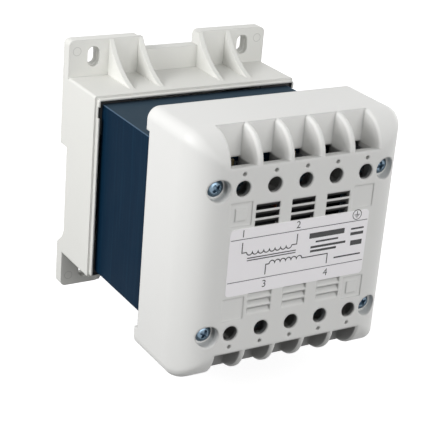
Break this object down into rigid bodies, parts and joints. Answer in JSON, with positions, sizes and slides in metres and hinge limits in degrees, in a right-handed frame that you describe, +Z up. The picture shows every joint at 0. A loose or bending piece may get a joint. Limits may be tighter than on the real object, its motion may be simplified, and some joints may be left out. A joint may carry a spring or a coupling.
{
  "type": "din rail transformer",
  "caption": "Control transformer for rail mounting: a dark laminated core between a grey moulded rear base with fixing ears and a rounded louvred terminal cover.",
  "frame": {"origin": "middle of the rail seat, in the plane of the base's back", "axes": "+Y back towards the rail, the front cover facing -Y; +Z up, square to the rail; +X right seen from the front, along the rail"},
  "size_m": [0.09, 0.1089, 0.106],
  "materials": {
    "base_plastic": "fine satin moulding",
    "cover_plastic": "fine satin moulding",
    "latch_plastic": "fine satin moulding",
    "core_varnish": "semi-gloss dark blue dip varnish",
    "former_plastic": "matt",
    "winding_copper": "enamelled wire",
    "winding_tape": "matt tape",
    "lead_copper": "bare stiff copper wire",
    "lead_sleeve": "green sleeve",
    "terminal_brass": "nickelled brass",
    "cage_steel": "zinc plated",
    "screw_zinc": "blue-passivated zinc",
    "tag_steel": "tinned",
    "spring_steel": "bright spring strip",
    "label_film": "printed film"
  },
  "bodies": {
    "housing": {"rear_base": "base_plastic", "front_cover": "cover_plastic", "latch_spring": "spring_steel", "core_e_stack": "core_varnish", "core_i_stack": "core_varnish", "coil_former": "former_plastic", "primary_winding": "winding_copper", "secondary_winding": "winding_copper", "primary_wrap": "winding_tape", "secondary_wrap": "winding_tape", "rating_label": "label_film", "corner_screws": "screw_zinc", "corner_nuts": "screw_zinc", "earth_tag": "tag_steel", "lead_earth": "lead_sleeve", "terminal_bar_primary_0": "terminal_brass", "clamp_cage_primary_0": "cage_steel", "clamp_screw_primary_0": "screw_zinc", "lead_primary_0": "lead_copper", "terminal_bar_primary_230": "terminal_brass", "clamp_cage_primary_230": "cage_steel", "clamp_screw_primary_230": "screw_zinc", "lead_primary_230": "lead_copper", "terminal_bar_earth": "terminal_brass", "clamp_cage_earth": "cage_steel", "clamp_screw_earth": "screw_zinc", "terminal_bar_secondary_0": "terminal_brass", "clamp_cage_secondary_0": "cage_steel", "clamp_screw_secondary_0": "screw_zinc", "lead_secondary_0": "lead_copper", "terminal_bar_secondary_24": "terminal_brass", "clamp_cage_secondary_24": "cage_steel", "clamp_screw_secondary_24": "screw_zinc", "lead_secondary_24": "lead_copper"},
    "latch": {"rail_latch": "latch_plastic"}
  },
  "joints": [
    {"name": "latch_slide", "type": "slide", "parent": "housing", "child": "latch", "axis": [0, 0, -1], "range_m": [0, 0.0045], "deforming": ["latch_spring"]}
  ]
}
